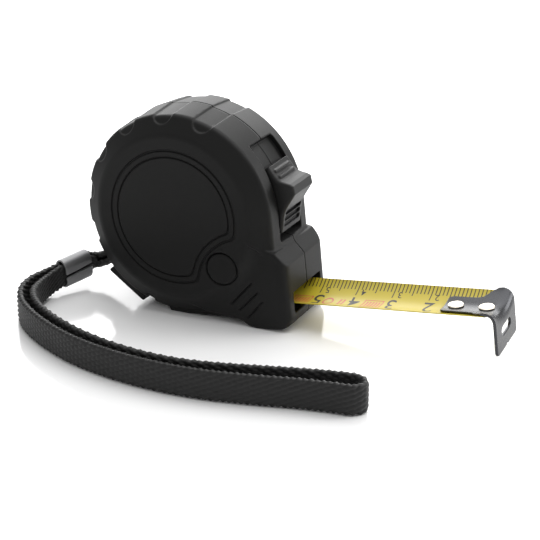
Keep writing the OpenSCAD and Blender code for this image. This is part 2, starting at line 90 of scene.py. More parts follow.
MM = 0.001
FAR = 9
JOINTS = {joint["name"]: joint for joint in frame["joints"]}
SPOOL_AT = Vector(JOINTS["spool_spin"]["pos_m"])
ALONG = Vector(JOINTS["blade_slide"]["axis"]).normalized()
ACROSS = Vector((0, 1, 0))
UPRIGHT = ALONG.cross(ACROSS)
CASE_FRAME = Matrix.Translation(SPOOL_AT) @ Matrix((ALONG, ACROSS, UPRIGHT)).transposed().to_4x4()
CASE_FRAME = CASE_FRAME @ Matrix.Scale(MM, 4)

# Sizes that the frame fixes, in millimetres in the case's frame
CASE_R = SPOOL_AT.z / MM
HALF_W = -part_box("case_left")[0].y / MM
HALF_RIM = HALF_W - 2.9
RIM_DRAFT = 0.8
RIM_SLOPE = (0.5093, 0.8606)
WALL = 1.8
NOSE_X = CASE_R + 2.8
HALF_NOSE = 12.0
FOOT_Z = -CASE_R - 2.0
WINDOW = (-16.0, 40.5)
WINDOW_HALF = 6.4
TRACK_R = CASE_R - WALL
MOUTH = (-25.5, -20.3)
BLADE_CURVE = 15.0
BLADE_T = 0.2
BLADE_LOW = -24.5
CURVE_Z = BLADE_LOW + BLADE_CURVE
BLADE_HALF = BLADE_CURVE * math.sin(8 / BLADE_CURVE)
BLADE_START = -4
BLADE_END = NOSE_X + 52
CHAMBER_R = CASE_R - 2.0
# The drawn-out blade hangs a little twisted about its length, near edge down
TWIST = 4.8
BLADE_FRAME = CASE_FRAME @ Matrix.Translation((0, 0, BLADE_LOW + 2 - 0.22))
BLADE_FRAME = BLADE_FRAME @ Matrix.Rotation(math.radians(TWIST), 4, "X")
BLADE_FRAME = BLADE_FRAME @ Matrix.Translation((0, 0, -BLADE_LOW - 2))


# ---- fields and their meshes


def soft_max(a, b, r):
    """The larger of two distances, with the edge between them rounded."""
    h = np.maximum(r - np.abs(a - b), 0) / r
    return np.maximum(a, b) + h * h * r / 4


def soft_min(a, b, r):
    """The smaller of two distances, with the corner between them filled."""
    return -soft_max(-a, -b, r)


def common(*parts):
    """Distance from the space that all the parts share."""
    return reduce(np.maximum, parts)


def joined(*parts):
    """Distance from the parts taken together."""
    return reduce(np.minimum, parts)


def in_front(x, part):
    """A part's distance in front of the case's middle, and far from it behind."""
    return np.where(x > 0, part, FAR)


def at_angle(r, degrees):
    """Place at a radius and an angle about the spool's axis."""
    return r * math.cos(math.radians(degrees)), r * math.sin(math.radians(degrees))


def away(x, z, at):
    return np.hypot(x - at[0], z - at[1])


def outline(x, z, points):
    """Signed distance from a closed outline, negative inside it."""
    best = np.full(np.shape(x), 1e9, np.float32)
    inside = np.zeros(best.shape, bool)
    for (ax, az), (bx, bz) in zip(points, points[1:] + points[:1]):
        ex, ez = bx - ax, bz - az
        t = np.clip(((x - ax) * ex + (z - az) * ez) / (ex * ex + ez * ez), 0, 1)
        best = np.minimum(best, (x - ax - t * ex) ** 2 + (z - az - t * ez) ** 2)
        if ez:
            cross = ((z < az) != (z < bz)) & (x < ex * (z - az) / ez + ax)
            inside ^= cross
    return np.sqrt(best) * np.where(inside, -1, 1)


def stroke(x, z, start, end, half):
    """Signed distance from a straight groove with round ends."""
    ex, ez = end[0] - start[0], end[1] - start[1]
    t = np.clip(((x - start[0]) * ex + (z - start[1]) * ez) / (ex * ex + ez * ez), 0, 1)
    return np.hypot(x - start[0] - t * ex, z - start[1] - t * ez) - half


def polar(rho, theta, y):
    """Case-frame point of a grid point given as radius, angle and place across."""
    return rho * np.cos(theta), y, rho * np.sin(theta)


def straight(x, y, z):
    return x, y, z


def slope(field, points, step=0.04):
    """Unit gradient of a field at some points."""
    columns = []
    for axis in range(3):
        push = np.zeros(3)
        push[axis] = step
        ahead, behind = (points + push).T, (points - push).T
        columns.append(field(*ahead) - field(*behind))
    g = np.stack(columns, 1)
    return g / np.maximum(np.linalg.norm(g, axis=1, keepdims=True), 1e-9)


def settle(field, points):
    """Moves points that are near a field's surface onto it, and gives the way it faces there."""
    facing = slope(field, points)
    for _ in range(2):
        step = np.clip(field(*points.T), -0.15, 0.15)
        points = points - step[:, None] * facing
    return points, facing


def sampled(field, axes, place):
    """Values of a field on a bent grid, worked out in full only near its surface."""
    every = 4
    picks = [np.unique(np.append(np.arange(0, len(a), every), len(a) - 1)) for a in axes]
    coarse_axes = [np.asarray(a)[pick] for a, pick in zip(axes, picks)]
    coarse_at = place(*np.meshgrid(*coarse_axes, indexing="ij"))
    coarse = field(*[np.asarray(c, np.float32) for c in coarse_at])
    spread = sum(
        np.pad(np.max(np.abs(np.diff(c, axis=d)), keepdims=True), 0) ** 2
        for d in range(3) for c in coarse_at
    ) ** 0.5
    lows = [np.searchsorted(pick, np.arange(len(a)), side="right") - 1 for a, pick in zip(axes, picks)]
    value = coarse[np.ix_(*lows)]
    near = np.argwhere(np.abs(value) < float(spread.max()))
    points = place(*[np.asarray(axes[d])[near[:, d]] for d in range(3)])
    value[tuple(near.T)] = field(*[np.asarray(c, np.float32) for c in points])
    return value


CORNERS = [(a, b, c) for a in (0, 1) for b in (0, 1) for c in (0, 1)]
CELL_EDGES = [
    (p, q) for p in range(8) for q in range(p + 1, 8)
    if sum(abs(m - n) for m, n in zip(CORNERS[p], CORNERS[q])) == 1
]


def surface_net(field, axes, place=straight, wrap=False):
    """Vertices and four-sided faces of the surface where a field is zero, on a bent grid."""
    value = sampled(field, axes, place)
    axes = [np.asarray(a, float) for a in axes]
    if wrap:
        value = np.concatenate([value, value[:, :1]], axis=1)
        axes[1] = np.append(axes[1], axes[1][0] + 2 * math.pi)
    inside = value < 0
    size = [n - 1 for n in value.shape]
    filled = sum(
        inside[a:size[0] + a, b:size[1] + b, c:size[2] + c].astype(np.uint8) for a, b, c in CORNERS
    )
    cells = np.argwhere((filled > 0) & (filled < 8))
    at = [value[tuple((cells + corner).T)] for corner in CORNERS]
    total, hits = np.zeros((len(cells), 3)), np.zeros(len(cells))
    for p, q in CELL_EDGES:
        cut = (at[p] < 0) != (at[q] < 0)
        t = np.where(cut, at[p] / np.where(cut, at[p] - at[q], 1), 0)
        run = np.array(CORNERS[q]) - np.array(CORNERS[p])
        total += cut[:, None] * (np.array(CORNERS[p]) + t[:, None] * run)
        hits += cut
    where = cells + total / hits[:, None]
    coords = [np.interp(where[:, d], np.arange(len(axes[d])), axes[d]) for d in range(3)]
    points, facing = settle(field, np.stack(place(*coords), 1).astype(np.float32))

    number = np.full(size, -1)
    number[tuple(cells.T)] = np.arange(len(cells))
    faces = []
    for d in range(3):
        e, f = [k for k in range(3) if k != d]
        low = [slice(None)] * 3
        high = [slice(None)] * 3
        low[d], high[d] = slice(0, -1), slice(1, None)
        nodes = np.argwhere(inside[tuple(low)] != inside[tuple(high)])
        for k in (e, f):
            first = 0 if wrap and k == 1 else 1
            nodes = nodes[(nodes[:, k] >= first) & (nodes[:, k] < size[k])]
        around = []
        for de, df in ((-1, -1), (0, -1), (0, 0), (-1, 0)):
            cell = nodes.copy()
            cell[:, e] = (cell[:, e] + de) % size[e]
            cell[:, f] = (cell[:, f] + df) % size[f]
            around.append(number[tuple(cell.T)])
        faces.append(np.stack(around, 1))
    faces = np.concatenate(faces)
    corner = points[faces]
    across = np.cross(corner[:, 2] - corner[:, 0], corner[:, 3] - corner[:, 1])
    turned = (across * facing[faces].sum(1)).sum(1) < 0
    faces[turned] = faces[turned][:, ::-1]
    return points, faces


def new_object(name, mesh):
    piece = bpy.data.objects.new(name, mesh)
    bpy.context.scene.collection.objects.link(piece)
    return piece


@contextmanager
def edited(mesh):
    """A mesh opened for editing, and written back at the end."""
    work = bmesh.new()
    work.from_mesh(mesh)
    yield work
    work.to_mesh(mesh)
    work.free()


def plain_mesh(piece):
    """The mesh that an object shows, with its modifiers or its text made real."""
    bpy.context.view_layer.update()
    made = bpy.data.meshes.new_from_object(piece.evaluated_get(bpy.context.evaluated_depsgraph_get()))
    bpy.data.objects.remove(piece)
    return made


def mesh_points(mesh):
    points = np.zeros(len(mesh.vertices) * 3, np.float32)
    mesh.vertices.foreach_get("co", points)
    return points.reshape(-1, 3)


def tube_mesh(name, points, n):
    """Smooth closed mesh of a tube whose rings of n points follow each other."""
    rings = len(points) // n
    faces = [(k * n + i, k * n + (i + 1) % n, (k + 1) * n + (i + 1) % n, (k + 1) * n + i)
             for k in range(rings - 1) for i in range(n)]
    faces += [tuple(range(n))[::-1], tuple((rings - 1) * n + i for i in range(n))]
    mesh = bpy.data.meshes.new(name)
    mesh.from_pydata(points, [], faces)
    with edited(mesh) as work:
        bmesh.ops.recalc_face_normals(work, faces=work.faces)
    mesh.shade_smooth()
    return mesh


def paint(mesh, material):
    mesh.materials.clear()
    mesh.materials.append(material)


def shade_from(mesh, field):
    """Smooth shading that takes its normals from the field itself."""
    points = mesh_points(mesh)
    mesh.shade_smooth()
    mesh.normals_split_custom_set_from_vertices(slope(field, points).tolist())


def net_mesh(name, field, axes, place=straight, wrap=False, thin=None):
    """Mesh of a field in the case's frame. thin(points) marks the points on flat or inner walls,
    where the mesh is made coarser."""
    points, faces = surface_net(field, axes, place, wrap)
    mesh = bpy.data.meshes.new(name)
    mesh.from_pydata(points.tolist(), [], faces.tolist())
    with edited(mesh) as work:
        open_edges = [edge for edge in work.edges if edge.is_boundary]
        if open_edges:
            bmesh.ops.holes_fill(work, edges=open_edges, sides=0)
        bmesh.ops.triangulate(work, faces=[face for face in work.faces if len(face.verts) > 4])
    if thin:
        mesh = thinned(mesh, thin)
    shade_from(mesh, field)
    return mesh


def thinned(mesh, thin, keep=0.12):
    """A copy of a mesh with fewer faces at the points that thin() picks out."""
    piece = new_object(mesh.name, mesh)
    hidden = np.flatnonzero(thin(mesh_points(mesh)))
    group = piece.vertex_groups.new(name="hidden")
    group.add(hidden.tolist(), 1, "REPLACE")
    share = len(hidden) / len(mesh.vertices)
    coarse = piece.modifiers.new("Coarse inside", "DECIMATE")
    coarse.vertex_group = "hidden"
    coarse.ratio = 1 - share * (1 - keep)
    return plain_mesh(piece)


def stand(mesh, place=CASE_FRAME):
    """Moves a mesh from the case's frame to where the case stands."""
    mesh.transform(place)
    return mesh


# ---- case


def rim_slope(reach, y):
    """Distance from the cone between the case's band and its side faces."""
    return (reach - CASE_R + RIM_DRAFT) * RIM_SLOPE[0] + (np.abs(y) - HALF_RIM) * RIM_SLOPE[1]


def rim_profile(reach, y):
    """The case's section, from the distance out from its centre and the place across."""
    band = reach - CASE_R + RIM_DRAFT * np.abs(y) / HALF_RIM
    return soft_max(soft_max(band, rim_slope(reach, y), 0.8), np.abs(y) - HALF_W, 0.5)


NOSE_OUTLINE = [
    (2, -23.5), (6, -25.6), (12.2, -26.4), (13.0, -26.9), (15.6, -27.15), (16.8, -27.8), (18.2, -28.8),
    (19.8, FOOT_Z), (NOSE_X - 2.8, FOOT_Z), (NOSE_X - 0.8, FOOT_Z + 0.9), (NOSE_X, FOOT_Z + 2.8),
    (NOSE_X, -12.4), (CASE_R, -9), (21.2, -7.2), (2, -7.2),
]
SUNK = 0.42
FLUTES = [(67.5 + 25 * k, 2.8) for k in range(6)] + [(245.5, 1.2)]
PANEL_ARC_AT = (19.4, -19.0)
BADGE_AT = (12.6, -13.2)
BADGE_R = 4.2
SIDE_LINES = [
    ((20.0, -17.1), (13.7, -23.1)), ((21.4, -19.6), (15.9, -24.6)), ((22.5, -22.1), (18.0, -26.7)),
]
BAR_ANGLE = 213
BAR_AT = at_angle(CASE_R - 2.2, BAR_ANGLE)
LUG_ANGLE = 229


def outer_form(x, y, z):
    """Both halves together, as one solid with its rim flutes."""
    rho = np.hypot(x, z)
    theta = np.degrees(np.arctan2(z, x)) % 360
    above_line = -(z + 7.2 + 0.68 * (x - 21.5)) / 1.21
    front = np.maximum(soft_max(rim_profile(x, y), above_line, 0.6), z)
    form = joined(rim_profile(rho, y), in_front(x, front))
    under = soft_max(-z - CASE_R - 0.1 * np.minimum(x, 0), np.abs(y) - HALF_RIM - 0.1, 0.4)
    form = joined(form, common(under, x - 14, -x - 5.5, z + 20))
    plan = soft_max(np.abs(y) - HALF_NOSE, x - NOSE_X, 3.0)
    nose = soft_max(outline(x, z, NOSE_OUTLINE) - 0.1, plan, 0.5)
    form = soft_min(form, nose, 0.7)
    out_x, out_z = at_angle(1, LUG_ANGLE)
    lug = np.maximum(np.abs(theta - LUG_ANGLE + 0.5) - 12, 0) * 0.47 - 0.3
    lug = soft_max(x * out_x + z * out_z - (CASE_R + 0.9), lug, 0.6)
    lug = soft_max(lug, np.abs(y) - HALF_RIM + 0.5, 0.8)
    form = soft_min(form, np.maximum(lug, 20 - rho), 0.5)
    for angle, half in FLUTES:
        out_x, out_z = at_angle(1, angle)
        out = x * out_x + z * out_z
        side = np.abs(z * out_x - x * out_z)
        foot = np.where(out > 24 + half, side, np.hypot(side, out - 24 - half)) - half
        foot = np.where(out > 0, foot, FAR)
        form = soft_max(form, -soft_max(foot, -(form + SUNK), 0.35), 0.35)
    return form


def panel_ring(x, z, ring_r, arc_r):
    """Distance from the middle line of a ring that an arc cuts into at the lower front."""
    ring = np.hypot(x, z) - ring_r
    arc = arc_r - np.hypot(x - PANEL_ARC_AT[0], z - PANEL_ARC_AT[1])
    return np.abs(soft_max(ring, arc, 1.2))


def side_grooves(x, z, badge):
    """Distance from the grooves in a side face."""
    line = joined(panel_ring(x, z, 17.62, 14.1) - 0.24, panel_ring(x, z, 15.88, 15.8) - 0.17)
    for start, end in SIDE_LINES:
        line = joined(line, stroke(x, z, start, end, 0.16))
    if badge:
        line = joined(line, np.abs(away(x, z, BADGE_AT) - BADGE_R) - 0.24)
    return line


def cavity(x, y, z):
    """The space inside the case, and the mouth that the blade comes out of."""
    chamber = common(np.hypot(x, z) - CHAMBER_R, np.abs(y) - HALF_W + WALL,
                     rim_slope(np.hypot(x, z), y) + WALL)
    side = np.abs(y) - BLADE_HALF - 0.8
    throat = common(side, outline(x, z, [
        (0, MOUTH[0]), (NOSE_X - WALL, MOUTH[0]), (NOSE_X - WALL, -13.4), (CASE_R - WALL, -10.4),
        (CASE_R - 7.8, -9), (0, -9),
    ]))
    mouth = soft_max(np.abs(z - sum(MOUTH) / 2) - (MOUTH[1] - MOUTH[0]) / 2, side, 0.5)
    return joined(chamber, throat), common(mouth, NOSE_X - 3 - x, x - NOSE_X - 2)


def wedge(x, z, low, high):
    """Distance from the space between two angles, in front of the axis."""
    (ax, az), (bx, bz) = at_angle(1, low), at_angle(1, high)
    return in_front(x, np.maximum(x * az - z * ax, z * bx - x * bz))


def rod(x, y, z, at, r, low, high):
    """Round rod across the case, between two places."""
    return common(away(x, z, at) - r, low - y, y - high)


SCREWS = [at_angle(CASE_R - 3, angle) for angle in (80, 150, 238)] + [(NOSE_X - 7.5, -27.4)]
SCREW_POST_R, SCREW_R, SCREW_HEAD_R = 2.1, 0.95, 1.75
BOSS_END = 13.0
EYE_HALF = 3.3


def fittings(side, x, y, z, outer):
    """What stands inside a half: the spool's boss and ring, the screw posts and the lock's track."""
    rho = np.hypot(x, z)
    boss = rod(x, y, z, (0, 0), 4.7, *((-BOSS_END, -8.8) if side < 0 else (9.0, BOSS_END)))
    ring = common(np.abs(rho - 19.6) - 0.6, 8.8 - np.abs(y), np.abs(y) - BOSS_END)
    track = common(np.abs(rho - TRACK_R + 0.9) - 0.9, np.abs(y) - HALF_RIM + 1,
                   wedge(x, z, WINDOW[0] - 5, WINDOW[1] + 5))
    posts = [np.maximum(rod(x, y, z, at, SCREW_POST_R, -10, 10), outer + 0.5) for at in SCREWS]
    return joined(boss, ring, *posts), track


def shell(side):
    """Field of one half: side -1 is the left one, which has the badge, and 1 the right one."""

    def field(x, y, z):
        rho, across = np.hypot(x, z), np.abs(y)
        outer = outer_form(x, y, z)
        flank = soft_max(side_grooves(x, z, side < 0), HALF_RIM + 0.6 - across, 0.3)
        body = soft_max(outer, -soft_max(flank, -outer - SUNK, 0.25), 0.25)
        inside, mouth = cavity(x, y, z)
        body = np.maximum(body, -joined(common(inside, body + 1.1), mouth))
        stands, track = fittings(side, x, y, z, outer)
        body = joined(body, stands, rod(x, y, z, BAR_AT, 2, -7, 7))
        pocket = in_front(x, soft_max(wedge(x, z, *WINDOW), across - WINDOW_HALF, 0.9))
        body = joined(soft_max(body, -common(pocket, TRACK_R - rho), 0.25), track)
        slot = common(wedge(x, z, -10, 22), across - 2.4, 21 - rho, rho - TRACK_R - 1)
        body = common(body, -slot)
        bar_x, bar_z = at_angle(1, BAR_ANGLE)
        eye = common(away(x, z, (rho * bar_x, rho * bar_z)) - 3.5, across - EYE_HALF, 22 - rho)
        body = soft_max(body, -eye, 0.4)
        ends = (-7, -EYE_HALF) if side < 0 else (EYE_HALF, 7)
        body = joined(body, rod(x, y, z, BAR_AT, 2, *ends))
        body = common(body, -rod(x, y, z, BAR_AT, 0.83, -6.03, 6.03))
        body = common(body, -rod(x, y, z, (0, 0), 2.93, -HALF_W + 1, HALF_W - 1))
        for at in SCREWS:
            body = common(body, -rod(x, y, z, at, SCREW_R, -8.4, 10))
            body = soft_max(body, -rod(x, y, z, at, SCREW_HEAD_R, 9.0, 20), 0.2)
        if side < 0:
            body = common(body, -rod(x, y, z, BADGE_AT, BADGE_R + 0.1, -20, -HALF_W + 0.8))
        return soft_max(body, -side * y + 0.01, 0.35)

    return field


def stretch(*stops):
    """Grid places from (start, end, step) stretches that follow each other."""
    runs = [np.linspace(a, b, max(2, round((b - a) / step) + 1))[:-1] for a, b, step in stops]
    return np.concatenate(runs + [[stops[-1][1]]])


INNER_DEPTH = 1.3


def inner_points(points):
    """True where a point of a half lies on its inner walls."""
    return outer_form(*points.T) < -INNER_DEPTH


# ---- materials


def add_node(tree, kind, inputs=(), **settings):
    """Adds a node with these settings. inputs gives its sockets values, or outputs to link from."""
    node = tree.nodes.new(kind)
    for name, value in settings.items():
        setattr(node, name, value)
    for name, value in dict(inputs).items():
        if isinstance(value, bpy.types.NodeSocket):
            tree.links.new(value, node.inputs[name])
        else:
            node.inputs[name].default_value = value
    return node


def node_material(name, colour, rough, metal=0.0, specular=0.5):
    """A material with its shader's own values set, and its node tree."""
    material = bpy.data.materials.new(name)
    material.use_nodes = True
    material.diffuse_color = (*colour, 1)
    tree = material.node_tree
    shader = tree.nodes["Principled BSDF"]
    for socket, value in (("Base Color", (*colour, 1)), ("Roughness", rough), ("Metallic", metal),
                          ("Specular IOR Level", specular)):
        shader.inputs[socket].default_value = value
    return material, tree, shader


def add_relief(tree, shader, height, strength, depth):
    """Bump on a shader from a height output, with its depth in millimetres."""
    relief = add_node(tree, "ShaderNodeBump", {
        "Strength": strength, "Distance": depth * MM, "Height": height})
    tree.links.new(relief.outputs["Normal"], shader.inputs["Normal"])


def add_grain(tree, shader, colour, scale, spread, rough, depth, strength):
    """Fine uneven colour, roughness and relief, read from Object coordinates in metres."""
    where = add_node(tree, "ShaderNodeTexCoord").outputs["Object"]
    grain = add_node(tree, "ShaderNodeTexNoise", {"Scale": scale, "Detail": 5, "Vector": where})
    patches = add_node(tree, "ShaderNodeTexNoise", {"Scale": scale / 40, "Detail": 3, "Vector": where})
    shade = add_node(tree, "ShaderNodeMapRange", {
        "To Min": 1 - spread, "To Max": 1 + spread, "Value": patches.outputs["Fac"]})
    tint = add_node(tree, "ShaderNodeVectorMath", {0: colour, "Scale": shade.outputs["Result"]},
                    operation="SCALE")
    tree.links.new(tint.outputs["Vector"], shader.inputs["Base Color"])
    gloss = add_node(tree, "ShaderNodeMapRange", {
        "To Min": rough[0], "To Max": rough[1], "Value": grain.outputs["Fac"]})
    tree.links.new(gloss.outputs["Result"], shader.inputs["Roughness"])
    add_relief(tree, shader, grain.outputs["Fac"], strength, depth)


def moulded_plastic(name, colour, rough=(0.42, 0.56)):
    """Matte moulded plastic with a fine spark-eroded grain."""
    material, tree, shader = node_material(name, colour, rough[0], 0, 0.22)
    add_grain(tree, shader, colour, 5200, 0.10, rough, 0.03, 0.35)
    return material


def metal(name, colour, rough, grain, metallic=1.0):
    material, tree, shader = node_material(name, colour, rough[0], metallic)
    add_grain(tree, shader, colour, grain, 0.06, rough, 0.01, 0.12)
    return material


def black_nickel(name, colour):
    """Glossy dark plating with a faint orange-peel."""
    material, tree, shader = node_material(name, colour, 0.16, 0.85)
    add_grain(tree, shader, colour, 900, 0.08, (0.24, 0.3), 0.01, 0.06)
    return material


def lacquer(name, colour):
    """Satin yellow lacquer on the steel blade."""
    material, tree, shader = node_material(name, colour, 0.4, 0, 0.35)
    add_grain(tree, shader, colour, 1400, 0.05, (0.36, 0.44), 0.006, 0.08)
    shader.inputs["Coat Weight"].default_value = 0.08
    shader.inputs["Coat Roughness"].default_value = 0.2
    return material


def ink(name, colour):
    material, tree, shader = node_material(name, colour, 0.45)
    add_grain(tree, shader, colour, 6000, 0.12, (0.4, 0.5), 0.004, 0.1)
    return material


def webbing(name, colour):
    """Black plaited yarn, whose threads follow the strap's own UV map in millimetres. Its colour is lighter
    on the raised threads as painted highlight and darker between them as painted shade.
    """
    material, tree, shader = node_material(name, colour, 0.5, 0, 0.45)
    uv = add_node(tree, "ShaderNodeUVMap", uv_map="along")
    turn = add_node(tree, "ShaderNodeMapping", {
        "Rotation": (0, 0, math.radians(35)), "Scale": (1, 9, 1), "Vector": uv.outputs["UV"]})
    thread = add_node(tree, "ShaderNodeTexNoise", {
        "Scale": 1.6, "Detail": 4, "Vector": turn.outputs["Vector"]})
    # Colour from the same noise as the relief: painted highlight on the raised threads, painted shade in the
    # hollows between them
    shade = add_node(tree, "ShaderNodeValToRGB", {"Fac": thread.outputs["Fac"]})
    for stop, position, share in zip(shade.color_ramp.elements, (0.3, 0.75), (0.45, 1.9)):
        stop.position = position
        stop.color = (*[c * share for c in colour], 1)
    tree.links.new(shade.outputs["Color"], shader.inputs["Base Color"])
    add_relief(tree, shader, thread.outputs["Fac"], 0.6, 0.08)
    return material


# ---- settings


def colour_setting(name, description, default):
    return FloatVectorProperty(name=name, description=description, subtype="COLOR", default=default,
                               min=0, max=1)


def number_setting(name, description, default, low, high, unit="NONE"):
    return FloatProperty(name=name, description=description, default=default, min=low, max=high, unit=unit)


class TAPE_PG_case(bpy.types.PropertyGroup):
    colour: colour_setting("Case colour", "Colour of the two moulded halves", (0.0065, 0.0065, 0.0063))
    lock_colour: colour_setting("Lock colour", "Colour of the thumb lock", (0.012, 0.012, 0.0118))
    fineness: number_setting(
        "Mesh step", "Distance between mesh points on the case, in millimetres", 0.28, 0.2, 1)


class TAPE_PG_blade(bpy.types.PropertyGroup):
    colour: colour_setting("Blade colour", "Colour of the blade's lacquer", (0.50, 0.40, 0.028))
    ink: colour_setting("Ink colour", "Colour of the scale", (0.02, 0.017, 0.01))
    red: colour_setting("Second ink colour", "Colour of the frames between the numbers", (0.50, 0.10, 0.05))
    hook_colour: colour_setting("Hook colour", "Colour of the end hook's plating", (0.055, 0.056, 0.06))
    marks: IntProperty(
        name="Marks", description="Number of millimetre marks along the blade", default=74, min=10, max=78)
    tick_width: number_setting("Mark width", "Width of a mark, in millimetres", 0.25, 0.05, 0.4)


class TAPE_PG_strap(bpy.types.PropertyGroup):
    colour: colour_setting("Strap colour", "Colour of the yarn", (0.006, 0.006, 0.0058))
    width: number_setting("Strap width", "Width of the strap", 0.0078, 0.004, 0.01, "LENGTH")
    thickness: number_setting("Strap thickness", "Thickness of the strap", 0.0013, 0.0008, 0.002, "LENGTH")
    plait: number_setting("Plait pitch", "Distance between two strands, in millimetres", 1.45, 0.8, 3)


class TAPE_PG_stage(bpy.types.PropertyGroup):
    lens: number_setting("Lens", "Focal length of the camera, in millimetres", 108.4, 20, 300)
    floor: colour_setting("Floor colour", "Colour of the floor and the surroundings", (0.93, 0.93, 0.93))
    key: number_setting("Key light", "Strength of the light from above, in watts", 14, 0, 200)
    surround: number_setting("Surround", "Strength of the light from all around", 0.6, 0, 5)


# ---- operators


def finish_piece(name, mesh, material, body, slot, *nodes):
    """Names, colours and places a finished mesh, and sets it on its body."""
    piece = new_object(name, mesh)
    paint(mesh, material)
    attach(piece, body)
    if nodes:
        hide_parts(*nodes)
    return piece


class TAPE_OT_case(bpy.types.Operator):
    """Makes the two moulded halves and the small disc in the left one"""

    bl_idname = "tape.case"
    bl_label = "Case"

    def execute(self, context):
        looks = context.scene.tape_case
        plastic = moulded_plastic("Case plastic", tuple(looks.colour))
        step = looks.fineness
        rho = stretch((0.6, 11, 4 * step), (11, 15.2, step), (15.2, 18.2, 0.14), (18.2, 28.6, step),
                      (28.6, 41.2, 1.25 * step))
        turn = math.degrees(2.2 * step / CASE_R)
        theta = np.radians(stretch((-66, -10, 0.9 * turn), (-10, 294 - turn, turn)))
        for side, name in ((-1, "case_left"), (1, "case_right")):
            y = np.sort(side * stretch((-0.5, 14.06, step)))
            mesh = net_mesh(name, shell(side), (rho, theta, y), polar, True, inner_points)
            finish_piece(name + "_shell", stand(mesh), plastic, "case", "case_plastic", name)
        disc = net_mesh("side_badge", badge, (
            stretch((BADGE_AT[0] - 5, BADGE_AT[0] + 5, 0.16)), stretch((-HALF_W - 0.3, -HALF_W + 1.1, 0.16)),
            stretch((BADGE_AT[1] - 5, BADGE_AT[1] + 5, 0.16))))
        finish_piece("side_badge_disc", stand(disc), plastic, "case", "case_plastic", "side_badge")
        return {"FINISHED"}


def badge(x, y, z):
    """Small disc let into the left side, tipped a little so that its upper front edge is deepest."""
    top = -HALF_W + 0.04 + 0.03 * (x - BADGE_AT[0] + z - BADGE_AT[1])
    disc = soft_max(away(x, z, BADGE_AT) - BADGE_R + 0.08, top - y, 0.7)
    return soft_max(disc, y + HALF_W - 0.75, 0.1)


BUTTON = [
    (-11, TRACK_R + 0.1), (-11, 27.25), (-7, 27.35), (-3, 27.5), (-0.5, 27.8), (2, 28.4), (4.5, 29.4),
    (7, 30.6), (9, 31.6), (12.6, 31.75), (13.9, 30.9), (15.1, 29.7), (16.4, 28.75), (18, 28.15),
    (20, 27.8), (22.5, 27.55), (25.4, 27.4),
    (25.5, TRACK_R + 0.1), (16, TRACK_R), (7, TRACK_R), (-2, TRACK_R),
]


def lock_button(x, y, z):
    """Thumb lock: a curved plate with a nose, two ribs above it and three grooves below it."""
    half = WINDOW_HALF - 0.35
    rho, across = np.hypot(x, z), np.maximum(np.abs(y) - 4.0, 0)
    sides = [at_angle(r, angle) for angle, r in BUTTON]
    form = soft_max(outline(x, z, sides) - 0.15, np.abs(y) - half + 0.1, 0.9)
    for angle, level in ((22.0, 27.65), (18.3, 28.2)):
        bar = np.hypot(away(x, z, at_angle(level, angle)), across) - 0.55
        form = soft_min(form, bar, 0.3)
    for angle in (-7.2, -3.9, -0.6):
        ax, az = at_angle(1, angle)
        off = np.abs(z * ax - x * az)
        ridges = 0.1 * np.cos(2 * math.pi * y / 0.8) * np.cos(2 * math.pi * off / 0.6)
        form = soft_max(form, -common(np.hypot(off, across) - 0.62, 26.8 + ridges - rho), 0.2)
    stem = common(wedge(x, z, -7, 5), np.abs(y) - 2.1, 23.4 - rho, rho - 26)
    return joined(common(form, TRACK_R + 0.1 - rho), stem)


class TAPE_OT_lock(bpy.types.Operator):
    """Makes the thumb lock's button"""

    bl_idname = "tape.lock"
    bl_label = "Thumb lock"

    def execute(self, context):
        plastic = moulded_plastic("Lock plastic", tuple(context.scene.tape_case.lock_colour), (0.36, 0.5))
        step = 0.17
        mesh = net_mesh("lock_button", lock_button, (
            stretch((21.5, 32.6, step)), stretch((-6.5, 6.5, step)), stretch((-6.4, 14.4, step))))
        finish_piece("thumb_lock_button", stand(mesh), plastic, "lock", "lock_plastic", "lock_button")
        return {"FINISHED"}


FIRST_MARK = 4


def blade_z(y, lift=0.0):
    """Height of the blade's upper face at a place across it."""
    r = BLADE_CURVE - BLADE_T - lift
    return CURVE_Z - np.sqrt(np.maximum(r * r - np.square(y), 0))


def blend_blade(piece):
    """Bakes the place of a piece of the blade into its mesh."""
    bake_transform(piece)


class TAPE_OT_blade(bpy.types.Operator):
    """Makes the cupped steel blade"""

    bl_idname = "tape.blade"
    bl_label = "Blade"

    def execute(self, context):
        looks = context.scene.tape_blade
        xs = stretch((BLADE_START, BLADE_END - 2.4, 0.8))
        ys = np.linspace(-BLADE_HALF, BLADE_HALF, 25)
        ring = [(y, blade_z(y)) for y in ys]
        ring += [(y, CURVE_Z - math.sqrt(BLADE_CURVE ** 2 - y * y)) for y in ys[::-1]]
        mesh = tube_mesh("blade_strip", [(x, y, z) for x in xs for y, z in ring], len(ring))
        mesh.transform(BLADE_FRAME)
        mesh.set_sharp_from_angle(angle=math.radians(40))
        paint(mesh, lacquer("Blade lacquer", tuple(looks.colour)))
        piece = new_object("blade_steel", mesh)
        blend_blade(piece)
        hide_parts("blade_strip")
        return {"FINISHED"}


def node_group(name, **inputs):
    """A geometry node tree with these inputs, given by name and kind, and its inputs' own outputs."""
    tree = bpy.data.node_groups.new(name, "GeometryNodeTree")
    tree.interface.new_socket("Geometry", in_out="OUTPUT", socket_type="NodeSocketGeometry")
    for label, kind in inputs.items():
        tree.interface.new_socket(label, in_out="INPUT", socket_type="NodeSocket" + kind)
    return tree, add_node(tree, "NodeGroupInput").outputs


def set_copies(tree, points, shape, material, **settings):
    """Ends a node tree with copies of a shape on its points, made real and painted."""
    copies = add_node(tree, "GeometryNodeInstanceOnPoints", {
        "Points": points, "Instance": shape, **settings})
    real = add_node(tree, "GeometryNodeRealizeInstances", {"Geometry": copies.outputs["Instances"]})
    paint = add_node(tree, "GeometryNodeSetMaterial", {
        "Geometry": real.outputs["Geometry"], "Material": material})
    add_node(tree, "NodeGroupOutput", {"Geometry": paint.outputs["Geometry"]})
    return tree


